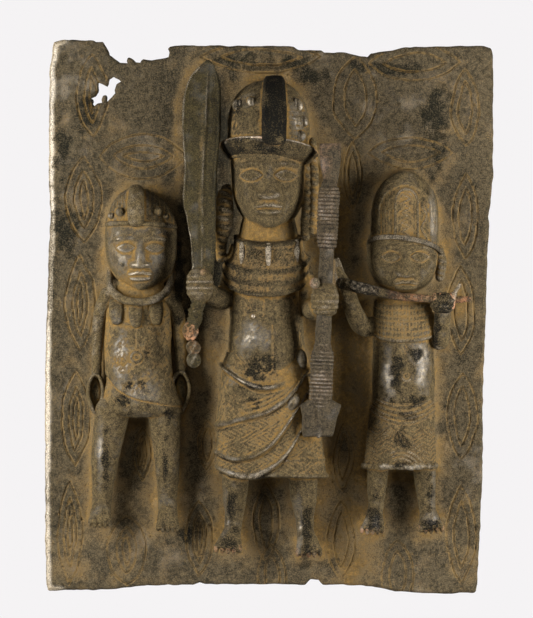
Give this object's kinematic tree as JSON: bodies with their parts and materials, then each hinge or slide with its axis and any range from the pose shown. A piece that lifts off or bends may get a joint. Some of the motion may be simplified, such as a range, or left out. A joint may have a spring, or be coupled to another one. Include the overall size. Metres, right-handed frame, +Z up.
{
  "type": "cast bronze relief plaque",
  "caption": "Flat-backed cast bronze wall plaque with standing figures in high relief, river-leaf incising, a casting hole and worn edges.",
  "frame": {"origin": "middle of the flat back, where the plaque meets the wall", "axes": "+X across to the viewer's right, +Y into the wall, +Z up, so the figures face -Y"},
  "size_m": [0.403, 0.0856, 0.4982],
  "materials": {
    "bronze": "dark brown cast bronze with an olive patina, ochre earth in the recesses, and grey-black and coppery wear on what stands proud"
  },
  "bodies": {
    "root": {"plaque": "bronze"}
  },
  "joints": []
}
